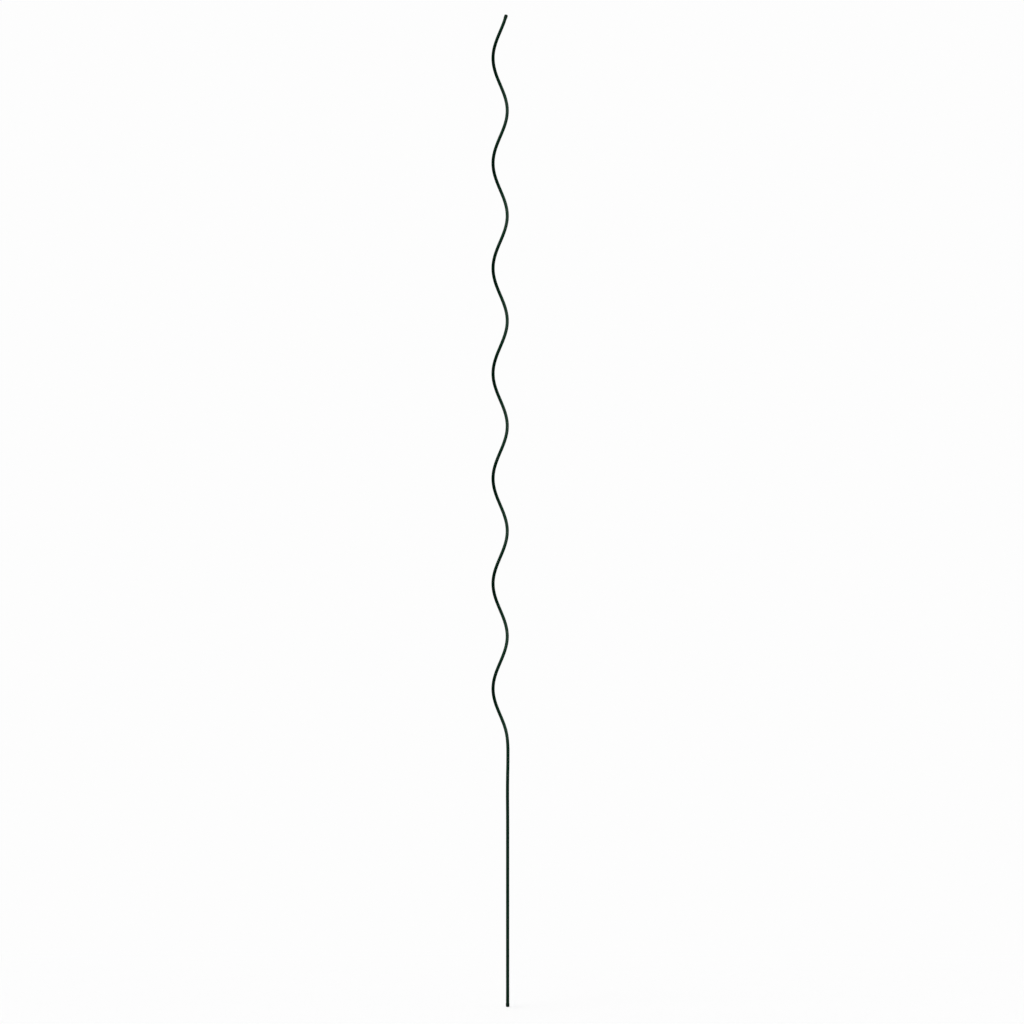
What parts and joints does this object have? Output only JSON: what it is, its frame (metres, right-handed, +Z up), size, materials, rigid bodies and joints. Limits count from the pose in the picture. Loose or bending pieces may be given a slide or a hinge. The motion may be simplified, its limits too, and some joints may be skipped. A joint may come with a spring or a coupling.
{
  "type": "spiral plant stake",
  "caption": "Tall plant support stake of green coated steel rod, wound as an open helix above a straight shank, with capped ends.",
  "frame": {"origin": "centre of the foot's flat end face, where the shank meets the ground", "axes": "+Z up along the straight shank; the stem's axis, which the helix winds around, stands parallel to it on the -X side"},
  "size_m": [0.0331, 0.0318, 1.8007],
  "materials": {
    "drawn_steel": "cold drawn, dull grey",
    "green_coating": "satin dark green extruded coating",
    "cap_plastic": "soft dip-moulded, very dark green"
  },
  "bodies": {
    "root": {"steel_core": "drawn_steel", "plastic_coating": "green_coating", "foot_cap": "cap_plastic", "top_cap": "cap_plastic"}
  },
  "joints": []
}
